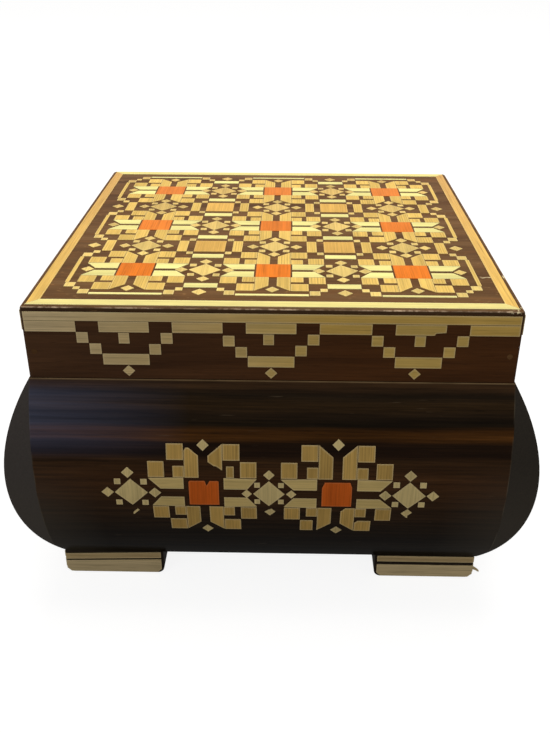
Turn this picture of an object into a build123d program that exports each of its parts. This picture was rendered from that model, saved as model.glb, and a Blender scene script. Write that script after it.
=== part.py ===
"""A square hinged wooden box with a bulging case and straw inlay.

The frame: the origin is on the floor under the middle of the box, +Z is up, the front faces -Y
and +X is to the right of someone who looks at the front. All sizes are in millimetres.
"""

import os
import random
from math import asin, cos, degrees, sin, sqrt

from build123d import *

# The lid: a thin panel on four rails
lid_side = 180.0
lid_height = 28.7
panel_thickness = 3.5
arris_radius = 1.4
corner_radius = 1.6
board_thickness = 7.0

# The case: four boards whose outer faces bulge on one arc, and a bottom let in between them
case_height = 85.5
bulge = 11.3
base_taper = 3.8
bottom_thickness = 4.0
lid_gap = 0.3

# The feet: square blocks, set by hand, so that the front left one stands a little further out
foot_side = 41.7
foot_height = 12.0
foot_inset = 0.7
foot_edge_radius = 3.0
stray_foot_shift = 2.0

# The riven wooden pegs that hold the rails' corners
peg_radius = 1.1
peg_length = 20.0
peg_drop = 18.0
peg_clearance = 0.04

# The two butt hinges, let into the edges of the back board and the back rail
hinge_spacing = 104.0
leaf_length = 24.0
leaf_width = 6.0
leaf_thickness = 0.9
leaf_clearance = 0.05
knuckle_radius = 2.2
knuckle_clearance = 0.35
knuckle_gap = 0.2
hinge_pin_radius = 0.8
hinge_pin_clearance = 0.04

# The straw: its thickness and the hairline joint beside each piece
straw = 0.25
joint = 0.1

# The lid's top: a border strip round a field of stars on a square grid
border_margin = 1.6
border_width = 4.6
field_margin = 2.8
stars_across = 3
units_per_star = 12

# The lid's rails: two strips under the top edge and three motifs that hang from them
upper_strip_top = 1.9
upper_strip_width = 3.5
lower_strip_top = 5.5
lower_strip_width = 4.25
strip_end_margin = 1.1
motif_foot_margin = 0.95
motif_rows = 4

# How far each motif lies to the right of its place, how far its small square and its diamond lie to
# the right of its middle, and how much lower its left half hangs
motif_strays = (1.0, 0.0, -0.4)
motif_square_strays = (-0.2, -0.9, 0.0)
motif_diamond_strays = (0.6, 0.0, -1.0)
motif_sags = (0.0, 0.8, 0.2)

# The case's friezes: two stars and three medallions, centred below the crest of the bulge.
# Spacings are in units of the ornament, and the stars' upper halves are a little taller.
frieze_star_place = 5.64
frieze_top_diamonds = (4.6, 4.75)
frieze_left_medallion = -11.84
frieze_right_medallion = 11.76
frieze_middle_stray = 0.12
frieze_upper_stretch = 1.07
frieze_drop = 3.4

# How much further out the outer pieces of each star lie, left star first, by side and up or down
frieze_reaches = (
    {(-1, 1): 0.2, (1, 1): 0.0, (-1, -1): 0.0, (1, -1): 0.0},
    {(-1, 1): 0.28, (1, 1): 0.15, (-1, -1): 0.0, (1, -1): 0.26},
)

# The straw strips on the feet: how far they are laid from the top, the inner end and the bottom.
# Those of the front left foot run lower at their outer end, and the front right foot's joint gapes.
foot_strip_drop = 1.0
foot_upper_strip = 2.9
foot_strip_joint = 0.9
foot_wide_joint = 1.75
foot_strip_askew = 1.2
foot_strip_margin = 0.3
foot_strip_bare_end = 1.1
foot_strip_end = 1.7

# How far hand-laid small pieces wander and turn, and the tallest piece that lies flat on the bulge
hand_wander = 0.2
hand_turn = 4.0
flat_limit = 8.0

# Places that follow from the sizes above
half_lid = lid_side / 2
inner_half = half_lid - board_thickness
case_bottom = foot_height
case_top = case_bottom + case_height
lid_bottom = case_top + lid_gap
lid_top = lid_bottom + lid_height
panel_bottom = lid_top - panel_thickness
base_half = half_lid - base_taper
crest_half = half_lid + bulge
unit = 2 * (half_lid - border_margin - border_width - field_margin) / (stars_across * units_per_star)
star_spacing = units_per_star * unit
motif_row = (lid_height - lower_strip_top - lower_strip_width - motif_foot_margin) / motif_rows

# The arc of the bulge meets the lid's side at the case's top edge and the narrower base at its
# bottom edge, and is upright where it stands out by the bulge
base_set_back = bulge + base_taper
taper_share = 1 - base_set_back / bulge
arc_reach = case_height**2 - bulge * base_set_back + base_set_back**2
crest_drop = arc_reach / (case_height + sqrt(case_height**2 - taper_share * arc_reach))
bulge_radius = (crest_drop**2 + bulge**2) / (2 * bulge)
crest_z = case_top - crest_drop
arc_centre = crest_half - bulge_radius
top_slope = asin(crest_drop / bulge_radius)

# The hinges' axis runs in the gap under the lid, as far out as the sloping back lets the knuckles
knuckle_reach = knuckle_radius + knuckle_clearance - sin(top_slope) * lid_gap / 2
hinge_y = half_lid + knuckle_reach / cos(top_slope)
hinge_z = case_top + lid_gap / 2


def case_half(z, skin=0.0):
    """Half the case's width at height z, over a layer of the given thickness."""
    return arc_centre + sqrt((bulge_radius + skin) ** 2 - (z - crest_z) ** 2)


def block(x0, x1, y0, y1, z0, z1):
    """A box between the given planes."""
    size = Box(x1 - x0, y1 - y0, z1 - z0)
    return Pos((x0 + x1) / 2, (y0 + y1) / 2, (z0 + z1) / 2) * size


def mirrored_quadrants(points):
    """One outline in each of the four quadrants."""
    return [[(sx * x, sy * y) for x, y in points] for sx in (1, -1) for sy in (1, -1)]


def moved(points, dx, dy):
    """An outline moved in its plane."""
    return [(x + dx, y + dy) for x, y in points]


def scaled(points, factor):
    """An outline in units of the ornament, as millimetres."""
    return [(x * factor, y * factor) for x, y in points]


def upright(x0, x1, y0, y1):
    """The corners of a rectangle between the given lines."""
    return [(x0, y0), (x1, y0), (x1, y1), (x0, y1)]


def rectangle(x0, x1, y0, y1):
    """The corners of a rectangle, drawn in by half a hairline joint on every side."""
    gap = joint / 2
    return upright(x0 + gap, x1 - gap, y0 + gap, y1 - gap)


def square(x, y, half):
    """A square about a point."""
    return upright(x - half, x + half, y - half, y + half)


def diamond(x, y, half):
    """A square on its corner about a point."""
    return [(x - half, y), (x, y - half), (x + half, y), (x, y + half)]


# The ornament's outlines, in units, and by the kind of straw piece

def star(heart, gap_across, gap_up):
    """An eight-pointed star: an orange heart, and in each quadrant two pointed arms and squares."""
    side_arm = [(1.65, gap_across), (3.45 + gap_across / 2, gap_across), (4.48, 1.42), (1.65, 1.48)]
    up_arm = [(gap_up, 1.52), (1.5, 1.52), (1.5, 4.48), (gap_up, 3.4)]
    far_square = square(2.27, 3.74, 0.73)
    near_square = square(2.07, 2.05, 0.53)
    outer_square = square(3.77, 2.22, 0.7)
    golden = []
    for piece in (up_arm, far_square, near_square, outer_square):
        golden += mirrored_quadrants(piece)
    pale = mirrored_quadrants(side_arm)
    return {"hearts": [square(0, 0, heart)], "pale_arms": pale, "golden_arms": golden}


def frieze_star(reaches):
    """A frieze's star, whose outer squares and arm tips lie further out by each quadrant's reach."""
    up_arm = [(0.4, 1.5), (1.6, 1.5), (1.6, 4.4), (0.4, 3.42)]
    near_square = upright(1.63, 2.57, 1.52, 2.53)
    far_square = upright(1.65, 3.06, 3.06, 4.4)
    pieces = {"hearts": [square(0, 0, 1.27)], "pale_arms": [], "golden_arms": []}
    for (side, rise), reach in reaches.items():
        side_arm = [(1.7, 0.43), (3.68, 0.43), (4.48 + reach, 1.42), (1.7, 1.48)]
        outer_square = upright(3.1 + reach, 4.47 + reach, 1.52, 2.92)
        pieces["pale_arms"].append([(side * x, rise * y) for x, y in side_arm])
        for outline in (up_arm, near_square, far_square, outer_square):
            pieces["golden_arms"].append([(side * x, rise * y) for x, y in outline])
    return pieces


def medallion(small_half, square_half=0.29, top_stray=0.0, low_squares=-1.12):
    """A large diamond with a small diamond off each corner and four small squares."""
    outlines = [diamond(0, 0, 1.4)]
    corners = ((2.02, 0), (-2.02, 0), (top_stray, 2.02), (0, -2.02))
    outlines += [diamond(x, y, small_half) for x, y in corners]
    outlines += [square(x, y, square_half) for x in (1.12, -1.12) for y in (1.12, low_squares)]
    return {"medallions": outlines}


def middle_medallion():
    """A slightly smaller medallion, which fits between the arms of two stars."""
    outlines = [diamond(0, 0, 1.33)]
    outlines += [diamond(x, 0, 0.43) for x in (1.9, -1.88)]
    outlines += [diamond(x, y, 0.47) for x, y in ((0, 1.93), (0.08, -2.0))]
    outlines += [square(x, y, 0.24) for x in (1.02, -1.0) for y in (0.92, -0.85)]
    return {"medallions": outlines}


def corner_cell():
    """The figure between four stars: a tan square, a bar on each side and four tiny squares."""
    bar = [(-1.4, 2.1), (1.4, 2.1), (1.4, 3.0), (-1.4, 3.0)]
    return {
        "tan_squares": [square(0, 0, 1.42)],
        "pale_arms": [bar, turned(bar, 2)],
        "golden_arms": [turned(bar, 1), turned(bar, 3)],
        "medallions": mirrored_quadrants(square(1.78, 1.78, 0.29)),
    }


def edge_cell():
    """The inward half of a corner cell, which stands on the border: +Y here points inward."""
    return {
        "bars": [[(-1.4, 2.1), (1.4, 2.1), (1.4, 3.0), (-1.4, 3.0)]],
        "medallions": [square(1.72, 1.72, 0.3), square(-1.72, 1.72, 0.3), diamond(0, 1.15, 0.62)],
    }


def edge_bracket():
    """The bracket between a star and the border: +Y here points outward from the star."""
    squares = [square(3.52, 4.95, 0.43), square(-3.52, 4.95, 0.43)]
    return {
        "bars": [[(-3.0, 5.15), (3.0, 5.15), (3.0, 5.48), (-3.0, 5.48)]],
        "medallions": squares + [diamond(0, 4.2, 0.56)],
    }


def turned(points, quarter):
    """An outline turned about the origin by a number of quarter turns."""
    for _ in range(quarter % 4):
        points = [(-y, x) for x, y in points]
    return points


def hand_laid(outline, chance):
    """A small piece as a hand lays it: a little off its place and a little turned."""
    middle_x = sum(x for x, _ in outline) / len(outline)
    middle_y = sum(y for _, y in outline) / len(outline)
    angle = chance.uniform(-hand_turn, hand_turn) / degrees(1)
    shift_x = chance.uniform(-hand_wander, hand_wander)
    shift_y = chance.uniform(-hand_wander, hand_wander)
    laid = []
    for x, y in outline:
        dx, dy = x - middle_x, y - middle_y
        laid.append((
            middle_x + shift_x + dx * cos(angle) - dy * sin(angle),
            middle_y + shift_y + dx * sin(angle) + dy * cos(angle),
        ))
    return laid


def add_figure(pieces, figure, x, y, quarter=0):
    """Adds a figure's outlines, turned and at its place, to the lists of outlines in millimetres."""
    for kind, outlines in figure.items():
        if kind == "bars":
            kind = "golden_arms" if quarter % 2 else "pale_arms"
        for outline in outlines:
            pieces[kind].append(moved(scaled(turned(outline, quarter), unit), x, y))


def lid_top_outlines():
    """Every straw piece on the lid's top but the border, by kind, in millimetres."""
    pieces = {kind: [] for kind in ("hearts", "pale_arms", "golden_arms", "tan_squares", "medallions")}
    stars = [star_spacing * (index - (stars_across - 1) / 2) for index in range(stars_across)]
    cells = [(near + far) / 2 for near, far in zip(stars, stars[1:])]
    for x in stars:
        for y in stars:
            add_figure(pieces, star(1.5, 0.25, 0.35), x, y)
        for y in cells:
            add_figure(pieces, medallion(0.55), x, y)
            add_figure(pieces, medallion(0.55), y, x)
    for x in cells:
        for y in cells:
            add_figure(pieces, corner_cell(), x, y)
    chance = random.Random(3)
    pieces["medallions"] = [hand_laid(outline, chance) for outline in pieces["medallions"]]
    edge, last = stars[-1] + star_spacing / 2, stars[-1]
    for quarter in range(4):
        for along in cells:
            x, y = turned([(along, -edge)], quarter)[0]
            add_figure(pieces, edge_cell(), x, y, quarter)
        for along in stars:
            x, y = turned([(along, last)], quarter)[0]
            add_figure(pieces, edge_bracket(), x, y, quarter)
        x, y = turned([(last, last)], quarter)[0]
        add_figure(pieces, {"medallions": [square(4.25, 4.25, 0.27)]}, x, y, quarter)
    return pieces


def motif_outlines(x, square_stray, diamond_stray, sag):
    """The figure that hangs from the strips of a rail, as outlines in x and in depth below the top."""
    strip_bottom = lower_strip_top + lower_strip_width
    rows = [strip_bottom + motif_row * index for index in range(motif_rows + 1)]
    small_x, small_half, square_half = x + square_stray, 0.44 * unit, 0.465 * motif_row
    outlines = [rectangle(x - 2.02 * unit, x + 2.02 * unit, lower_strip_top, strip_bottom)]
    outlines.append(rectangle(small_x - small_half, small_x + small_half, rows[0] + 2 * joint, rows[1]))
    foot_top = rows[2] + sag / 2 - 3 * joint
    outlines.append(rectangle(x - 1.9 * unit, x + 1.9 * unit, foot_top, foot_top + motif_row))
    for side in (1, -1):
        outer, inner = x + side * 3.4 * unit, x + side * 2.41 * unit
        lower = sag if side < 0 else 0
        outlines.append(square(outer, (rows[0] + rows[1]) / 2 + lower, square_half))
        outlines.append(square(inner, (rows[1] + rows[2]) / 2 + lower, square_half))
    outlines.append(diamond(x + diamond_stray, (rows[3] + rows[4] + sag) / 2 - joint, motif_row / 2))
    return outlines


def strip_outlines(motifs):
    """The two strips of a rail, the lower one broken beside each motif."""
    end = half_lid - strip_end_margin
    edges = [-end]
    for x in motifs:
        edges += [x - 3.86 * unit, x + 3.86 * unit]
    edges.append(end)
    strips = [rectangle(-end, end, upper_strip_top, upper_strip_top + upper_strip_width)]
    for start, stop in zip(edges[::2], edges[1::2]):
        strips.append(rectangle(start, stop, lower_strip_top, lower_strip_top + lower_strip_width))
    return strips


def frieze_outlines():
    """Every straw piece of one frieze, by kind, in x and in height above the frieze's axis."""
    pieces = {kind: [] for kind in ("hearts", "pale_arms", "golden_arms", "medallions")}
    places = (-frieze_star_place * unit, frieze_star_place * unit)
    for x, reaches in zip(places, frieze_reaches):
        add_figure(pieces, frieze_star(reaches), x, 0)
    for kind in ("pale_arms", "golden_arms"):
        pieces[kind] = [stretched_up(outline) for outline in pieces[kind]]
    for x, rise in zip(places, frieze_top_diamonds):
        add_figure(pieces, {"medallions": [diamond(0, rise, 0.5), diamond(0.12, -4.36, 0.48)]}, x, 0)
    add_figure(pieces, medallion(0.52, 0.27, top_stray=-0.2), frieze_left_medallion * unit, 0)
    add_figure(pieces, medallion(0.52, 0.27, low_squares=-0.96), frieze_right_medallion * unit, 0)
    add_figure(pieces, middle_medallion(), -frieze_middle_stray * unit, 0)
    return pieces


def rail_chips():
    """What wear has broken off the front rail's right motif, as outlines in x and in depth."""
    bar_end, bar_foot = star_spacing + 2 * unit, lower_strip_top + lower_strip_width
    return [[
        (bar_end - 4.6, bar_foot + joint),
        (bar_end - 3.9, bar_foot - 0.9),
        (bar_end + 1.0, bar_foot - 1.25),
        (bar_end + 1.0, bar_foot + joint),
    ]]


def front_chips():
    """What wear has broken off the front frieze's straw, as outlines in x and in height above its axis."""
    broken = {
        -frieze_star_place: [
            [(-1.64, 4.9), (-1.62, 4.06), (-1.43, 4.36), (-1.17, 4.33), (-1.0, 4.9)],
            [(0.3, 3.2), (0.47, 3.06), (0.9, 2.75), (1.1, 2.72), (1.61, 2.33), (1.61, 1.6), (0.3, 1.6)],
            [(1.61, 2.8), (1.93, 2.8), (1.93, 1.6), (1.61, 1.6)],
            [(0.04, 1.4), (0.25, 0.78), (0.58, 1.4)],
            [(-1.4, 1.4), (-1.4, 1.04), (-1.04, 1.4)],
            [(1.4, 1.4), (1.4, 1.06), (1.08, 1.4)],
        ],
        frieze_star_place: [
            [(-1.4, 0.65), (-1.27, 0.7), (-1.06, 1.2), (-1.06, 1.4), (-1.4, 1.4)],
            [(1.4, 0.8), (1.27, 0.8), (1.12, 1.2), (1.12, 1.4), (1.4, 1.4)],
            [(-1.96, -2.9), (-1.62, -2.9), (-1.62, -4.6), (-1.96, -4.6)],
            [(1.62, -2.9), (1.62, -3.35), (1.79, -3.22), (2.05, -2.9)],
            [(0.3, -1.45), (0.3, -1.95), (0.53, -1.8), (0.82, -1.45)],
        ],
        frieze_left_medallion: [
            [(-0.03, -2.9), (-0.03, -2.3), (0.38, -1.88), (0.5, -1.46), (-0.9, -1.46), (-0.9, -2.9)],
        ],
        frieze_right_medallion: [[(0.7, -1.8), (0.36, -1.95), (0.04, -2.27), (0.1, -2.7), (0.7, -2.7)]],
        -frieze_middle_stray: [
            [(-0.5, -2.02), (-0.3, -2.0), (-0.08, -1.83), (0.33, -1.62), (0.33, -1.4), (-0.5, -1.4)],
        ],
    }
    chips = []
    for place, outlines in broken.items():
        chips += [moved(scaled(outline, unit), place * unit, 0) for outline in outlines]
    return chips


def stretched_up(outline):
    """An outline whose points above the frieze's axis are lifted a little."""
    return [(x, y * frieze_upper_stretch if y > 0 else y) for x, y in outline]


# Solids from outlines

def prism(outline, depth, direction=(0, 0, 1)):
    """A thin straight piece over an outline in the XY plane."""
    return extrude(make_face(Polyline(*outline, close=True)), amount=depth, dir=direction)


def lid_top_straw(outlines):
    """Straw pieces that lie on the lid's top."""
    return [Pos(0, 0, lid_top) * prism(outline, straw) for outline in outlines]


def rail_straw(outlines, quarter):
    """Straw pieces on one rail. Quarter 0 is the front, and the turn goes on to the right."""
    face = Plane(origin=(0, -half_lid, lid_top), x_dir=(1, 0, 0), z_dir=(0, -1, 0))
    flat = [prism([(x, -depth) for x, depth in outline], straw) for outline in outlines]
    return [Rot(0, 0, 90 * quarter) * (face.location * piece) for piece in flat]


def frieze_face():
    """The upright plane that the front frieze is drawn on, seen from the front."""
    return Plane(origin=(0, 0, crest_z - frieze_drop), x_dir=(1, 0, 0), z_dir=(0, -1, 0))


def frieze_skin():
    """The layer that straw fills on the case's front, as one curved sheet."""
    inner = ThreePointArc((-base_half, case_bottom), (-crest_half, crest_z), (-half_lid, case_top))
    outer = ThreePointArc(
        (-case_half(case_top, straw), case_top),
        (-crest_half - straw, crest_z),
        (-case_half(case_bottom, straw), case_bottom),
    )
    outline = [inner, Line(inner @ 1, outer @ 0), outer, Line(outer @ 1, inner @ 0)]
    section = Plane.YZ * make_face(outline)
    return extrude(section, amount=half_lid, both=True)


def frieze_straw(outlines, skin):
    """Straw pieces on the bulge of the case's front: tall ones follow it, short ones lie flat on it."""
    pieces = []
    for outline in outlines:
        heights = [y for _, y in outline]
        if max(heights) - min(heights) > flat_limit:
            column = frieze_face().location * prism(outline, crest_half + bulge)
            pieces += (column & skin).solids()
            continue
        middle = (max(heights) + min(heights)) / 2
        rise = middle - frieze_drop
        slope = asin(rise / bulge_radius)
        touch = (0, -case_half(crest_z + rise), crest_z + rise)
        tangent = Plane(origin=touch, x_dir=(1, 0, 0), z_dir=(0, -cos(slope), sin(slope)))
        flat = [(x, (y - middle) / cos(slope)) for x, y in outline]
        pieces.append(tangent.location * prism(flat, straw))
    return pieces


# The case

def case_envelope():
    """The whole case as a solid block: the bulging profile run along X, kept inside its twin along Y."""
    right = ThreePointArc((base_half, case_bottom), (crest_half, crest_z), (half_lid, case_top))
    left = ThreePointArc((-half_lid, case_top), (-crest_half, crest_z), (-base_half, case_bottom))
    outline = [right, Line(right @ 1, left @ 0), left, Line(left @ 1, right @ 0)]
    profile = make_face(outline)
    along_x = extrude(Plane.YZ * profile, amount=crest_half + bulge, both=True)
    along_y = extrude(Plane.XZ * profile, amount=crest_half + bulge, both=True)
    return along_x & along_y


def case_boards():
    """Four boards. The side boards keep a tongue past each end of the front and back boards."""
    envelope = case_envelope()
    reach = crest_half + bulge
    boards = {}
    for name, quarter in (("case_front", 0), ("case_back", 2)):
        slab = block(-half_lid, half_lid, -reach, -inner_half, case_bottom, case_top)
        boards[name] = envelope & (Rot(0, 0, 90 * quarter) * slab)
    for name, side in (("case_right", 1), ("case_left", -1)):
        near, far = sorted((side * inner_half, side * reach))
        slab = envelope & block(near, far, -reach, reach, case_bottom, case_top)
        boards[name] = slab - boards["case_front"] - boards["case_back"]
    return boards


def case_bottom_board():
    """The thin board between the walls, flush with their lower edges."""
    return block(
        -inner_half, inner_half, -inner_half, inner_half, case_bottom, case_bottom + bottom_thickness
    )


def foot_places():
    """The planes that bound each foot, by its name: outer x, inner x, outer y, inner y."""
    outer = base_half - foot_inset
    inner = outer - foot_side
    places = {
        "foot_front_left": (-outer, -inner, -outer, -inner),
        "foot_front_right": (outer, inner, -outer, -inner),
        "foot_back_left": (-outer, -inner, outer, inner),
        "foot_back_right": (outer, inner, outer, inner),
    }
    stray = places["foot_front_left"]
    places["foot_front_left"] = (stray[0] - stray_foot_shift, stray[1] - stray_foot_shift, *stray[2:])
    return places


def foot(outer_x, inner_x, outer_y, inner_y):
    """A block under one corner, with its lower edges rounded at both ends."""
    body = block(*sorted((outer_x, inner_x)), *sorted((outer_y, inner_y)), 0, foot_height)
    low_ends = [edge for edge in body.edges().filter_by(Axis.Y) if edge.center().Z < foot_height / 2]
    return fillet(low_ends, foot_edge_radius)


def foot_strip_outlines(joint_width, askew):
    """A foot's two front strips, in distance from its outer end and in height. Their upper edges
    run lower towards the outer end by the askew, and the lower strip's corners are cut off."""
    end = foot_side - foot_strip_bare_end
    upper_top = foot_height - foot_strip_drop
    upper_low = upper_top - foot_upper_strip
    lower_top, low, cut = upper_low - joint_width, foot_strip_margin, foot_strip_end
    upper = [(0, upper_top - askew), (end, upper_top), (end, upper_low), (0, upper_low - askew)]
    lower = [
        (0, lower_top - askew), (end, lower_top), (end, low + cut),
        (end - cut, low), (cut, low), (0, low + cut),
    ]
    return [upper, lower]


def foot_straw(planes, joint_width=foot_strip_joint, askew=0.0):
    """Two strips on each outer face of a foot, those at its sides clear of its rounded edges."""
    outer_x, _, outer_y, _ = planes
    out_x, out_y = (1 if outer_x > 0 else -1), (1 if outer_y > 0 else -1)
    face_x = sorted((outer_x, outer_x + out_x * straw))
    face_y = sorted((outer_y, outer_y + out_y * straw))
    along_y = sorted((outer_y, outer_y - out_y * (foot_side - foot_strip_bare_end)))
    upper_top = foot_height - foot_strip_drop
    upper_low = upper_top - foot_upper_strip
    front = Plane(origin=(0, face_y[1], 0), x_dir=(1, 0, 0), z_dir=(0, -1, 0))
    strips = [
        block(*face_x, *along_y, upper_low, upper_top),
        block(*face_x, *along_y, foot_edge_radius, upper_low - foot_strip_joint),
    ]
    for outline in foot_strip_outlines(joint_width, askew):
        strips.append(front.location * prism([(outer_x - out_x * along, z) for along, z in outline], straw))
    return strips


# The lid

def lid_panel():
    """The lid's top, with rounded plan corners and a rounded upper arris."""
    panel = block(-half_lid, half_lid, -half_lid, half_lid, panel_bottom, lid_top)
    panel = fillet(panel.edges().filter_by(Axis.Z), corner_radius)
    return fillet(panel.faces().sort_by(Axis.Z)[-1].edges(), arris_radius)


def lid_rails():
    """The front and back rails run the full width, and the side rails stand between them."""
    rails = {}
    for name, sign in (("lid_rail_front", -1), ("lid_rail_back", 1)):
        y0, y1 = sorted((sign * inner_half, sign * half_lid))
        rail = block(-half_lid, half_lid, y0, y1, lid_bottom, panel_bottom)
        corners = [edge for edge in rail.edges().filter_by(Axis.Z) if abs(edge.center().Y) > inner_half + 1]
        rails[name] = fillet(corners, corner_radius)
    for name, sign in (("lid_rail_left", -1), ("lid_rail_right", 1)):
        x0, x1 = sorted((sign * inner_half, sign * half_lid))
        rails[name] = block(x0, x1, -inner_half, inner_half, lid_bottom, panel_bottom)
    holes = rail_pegs(peg_clearance)
    rails = {name: cut_by(rail, holes) for name, rail in rails.items()}
    rails["lid_rail_back"] = cut_by(rails["lid_rail_back"], leaf_recesses(1))
    return rails


def cut_by(solid, tools):
    """A solid less every tool that reaches it."""
    for tool in tools:
        solid = solid - tool
    return solid


def rail_pegs(clearance=0.0):
    """A riven, eight-sided peg through each end of the front and back rails, into a side rail's end."""
    length = peg_length + clearance
    section = RegularPolygon(peg_radius + clearance, 8)
    peg = Rot(90, 0, 0) * extrude(section, amount=length / 2, both=True)
    pegs = []
    for sign_x in (-1, 1):
        for sign_y in (-1, 1):
            x = sign_x * (half_lid - board_thickness / 2)
            y = sign_y * (half_lid - length / 2)
            pegs.append(Pos(x, y, lid_top - peg_drop) * peg)
    return pegs


# The hinges. Side -1 is the case's leaf, below the axis, and side 1 is the lid's.

def hinge_places():
    """The middle of each hinge along X."""
    return (-hinge_spacing / 2, hinge_spacing / 2)


def leaf_recesses(side):
    """What the leaves need cut out of the edge that they are let into."""
    recesses = []
    z0, z1 = sorted((hinge_z, hinge_z + side * (lid_gap / 2 + leaf_thickness)))
    half = leaf_length / 2 + leaf_clearance
    for x in hinge_places():
        y0 = half_lid - leaf_width - leaf_clearance
        recesses.append(block(x - half, x + half, y0, hinge_y + knuckle_radius, z0, z1))
    return recesses


def knuckle_spans(x, side):
    """Where a hinge's knuckles stand along X: two outer ones on the case, the middle one on the lid."""
    third = leaf_length / 3
    start, stop = x - leaf_length / 2, x + leaf_length / 2
    if side > 0:
        return [(start + third + knuckle_gap / 2, stop - third - knuckle_gap / 2)]
    return [(start, start + third - knuckle_gap / 2), (stop - third + knuckle_gap / 2, stop)]


def hinge_leaves(side):
    """Both hinges' leaves for one side, each with its knuckles, whose bores have sixteen sides."""
    leaves = []
    section = RegularPolygon(hinge_pin_radius + hinge_pin_clearance, 16, major_radius=False)
    z0, z1 = sorted((hinge_z + side * lid_gap / 2, hinge_z + side * (lid_gap / 2 + leaf_thickness)))
    for x in hinge_places():
        half = leaf_length / 2
        leaf = block(x - half, x + half, half_lid - leaf_width, half_lid, z0, z1)
        bores = []
        for start, stop in knuckle_spans(x, side):
            turn = Pos((start + stop) / 2, hinge_y, hinge_z) * Rot(0, 90, 0)
            arm = block(start, stop, half_lid - leaf_clearance, hinge_y, z0, z1)
            leaf = leaf + arm + turn * Cylinder(knuckle_radius, stop - start)
            bores.append(turn * extrude(section, amount=(stop - start) / 2, both=True))
        leaves.append(cut_by(leaf, bores))
    return leaves


def hinge_pins():
    """A pin through the knuckles of each hinge."""
    pin = Rot(0, 90, 0) * Cylinder(hinge_pin_radius, leaf_length)
    return [Pos(x, hinge_y, hinge_z) * pin for x in hinge_places()]


# The nodes

def build_nodes():
    """Every node of the box, as a list of its solids."""
    nodes = {name: [board] for name, board in case_boards().items()}
    nodes["case_back"] = [cut_by(nodes["case_back"][0], leaf_recesses(-1))]
    nodes["case_bottom"] = [case_bottom_board()]
    nodes["foot_straw"] = []
    hand_laid_strips = {
        "foot_front_left": {"askew": foot_strip_askew},
        "foot_front_right": {"joint_width": foot_wide_joint},
    }
    for name, planes in foot_places().items():
        nodes[name] = [foot(*planes)]
        nodes["foot_straw"] += foot_straw(planes, **hand_laid_strips.get(name, {}))

    nodes["lid_panel"] = [lid_panel()]
    nodes.update({name: [rail] for name, rail in lid_rails().items()})
    nodes["lid_rail_pegs"] = rail_pegs()

    nodes["case_hinge_leaves"] = hinge_leaves(-1)
    nodes["lid_hinge_leaves"] = hinge_leaves(1)
    nodes["hinge_pins"] = hinge_pins()

    outer, inner = half_lid - border_margin, half_lid - border_margin - border_width
    strip = [
        (joint - outer, -outer), (outer - joint, -outer), (inner - joint, -inner), (joint - inner, -inner)
    ]
    nodes["border_front_back"] = lid_top_straw([turned(strip, 0), turned(strip, 2)])
    nodes["border_sides"] = lid_top_straw([turned(strip, 1), turned(strip, 3)])
    for kind, outlines in lid_top_outlines().items():
        nodes["top_" + kind] = lid_top_straw(outlines)

    motifs = [place * star_spacing + stray for place, stray in zip((-1, 0, 1), motif_strays)]
    broken_off = rail_straw(rail_chips(), 0)
    decorated_sides = (0, 1, 3)
    nodes["rail_strips"] = rail_straw(strip_outlines(()), 2)
    nodes["rail_motifs"] = []
    for quarter in decorated_sides:
        nodes["rail_strips"] += rail_straw(strip_outlines(motifs), quarter)
        for figure in zip(motifs, motif_square_strays, motif_diamond_strays, motif_sags):
            pieces = rail_straw(motif_outlines(*figure), quarter)
            nodes["rail_motifs"] += [cut_by(piece, broken_off) for piece in pieces]

    skin = frieze_skin()
    chips = [frieze_face().location * prism(outline, crest_half + bulge) for outline in front_chips()]
    for kind, outlines in frieze_outlines().items():
        whole = frieze_straw(outlines, skin)
        nodes["frieze_" + kind] = [cut_by(piece, chips) for piece in whole]
        for quarter in (1, 3):
            nodes["frieze_" + kind] += [Rot(0, 0, 90 * quarter) * piece for piece in whole]
    return nodes


def main():
    os.makedirs("parts", exist_ok=True)
    for name, solids in build_nodes().items():
        shape = solids[0] if len(solids) == 1 else Compound(children=list(solids))
        export_step(shape, os.path.join("parts", name + ".step"))
    print("bulge radius", round(bulge_radius, 3), "crest drop", round(crest_drop, 3))
    print("hinge axis: y", round(hinge_y, 4), "z", round(hinge_z, 4))


main()
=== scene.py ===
"""The looks of a square wooden box with straw inlay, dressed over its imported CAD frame.

Sizes are in metres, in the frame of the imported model: the origin is on the floor under the middle
of the box, +Z is up and the front faces -Y. Every material is worked out from an object's own
coordinates, so that it stays on its board when the lid opens. The box's colours are written as
they show on a screen, from 0 to 255, and a texture's scale as repeats to the metre along each axis.
"""

import random
from math import asin, cos, pi, radians, sin

import bmesh
import bpy
from mathutils import Matrix, Vector


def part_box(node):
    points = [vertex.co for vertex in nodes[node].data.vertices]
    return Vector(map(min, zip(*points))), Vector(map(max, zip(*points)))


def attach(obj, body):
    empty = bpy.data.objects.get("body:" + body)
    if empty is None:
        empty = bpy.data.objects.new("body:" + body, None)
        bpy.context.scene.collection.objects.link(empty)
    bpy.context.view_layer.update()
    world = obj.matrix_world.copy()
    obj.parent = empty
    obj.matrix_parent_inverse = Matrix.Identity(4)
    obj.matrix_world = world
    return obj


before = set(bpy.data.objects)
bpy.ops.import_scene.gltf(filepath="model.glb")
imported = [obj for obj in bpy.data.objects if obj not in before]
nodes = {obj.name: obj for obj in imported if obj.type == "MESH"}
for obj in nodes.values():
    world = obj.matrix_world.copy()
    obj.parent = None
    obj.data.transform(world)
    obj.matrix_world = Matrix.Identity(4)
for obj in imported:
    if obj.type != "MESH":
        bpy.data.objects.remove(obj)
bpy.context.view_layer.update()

# Places read from the frame
LID_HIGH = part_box("lid_panel")[1]
FRONT_LOW, FRONT_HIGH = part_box("case_front")
RAIL_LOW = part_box("lid_rail_front")[0]
FOOT_LOW, FOOT_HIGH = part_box("foot_front_right")
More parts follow.
